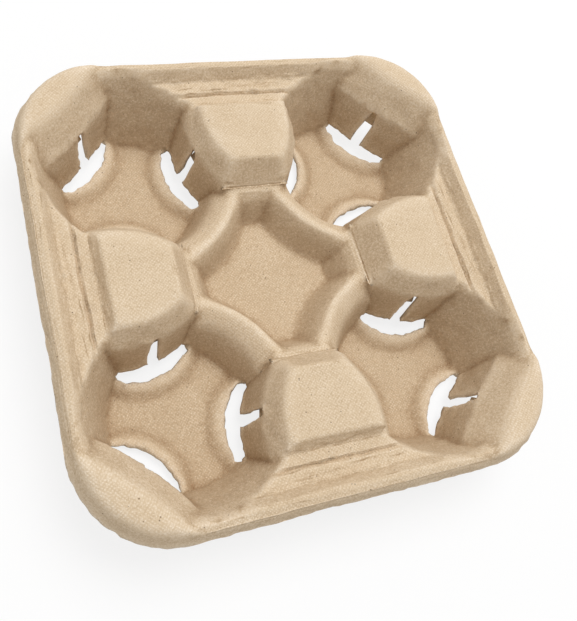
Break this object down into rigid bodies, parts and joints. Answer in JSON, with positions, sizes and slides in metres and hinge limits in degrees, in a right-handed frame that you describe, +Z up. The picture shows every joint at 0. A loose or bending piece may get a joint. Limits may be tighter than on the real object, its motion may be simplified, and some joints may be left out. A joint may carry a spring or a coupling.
{
  "type": "moulded pulp cup carrier",
  "caption": "Square moulded pulp tray with a well for a drinks cup in each quarter, gripping fingers round each well, and a raised tower in the middle of each side.",
  "frame": {"origin": "middle of the underside, on the plane that the floors of the wells stand on", "axes": "+Z up, out of the wells; X and Y along the sides of the tray, with a well in each quarter"},
  "size_m": [0.215, 0.215, 0.0453],
  "materials": {
    "pulp": "matte unbleached pulp with a fine screen imprint"
  },
  "bodies": {
    "root": {"cup_carrier": "pulp"}
  },
  "joints": []
}
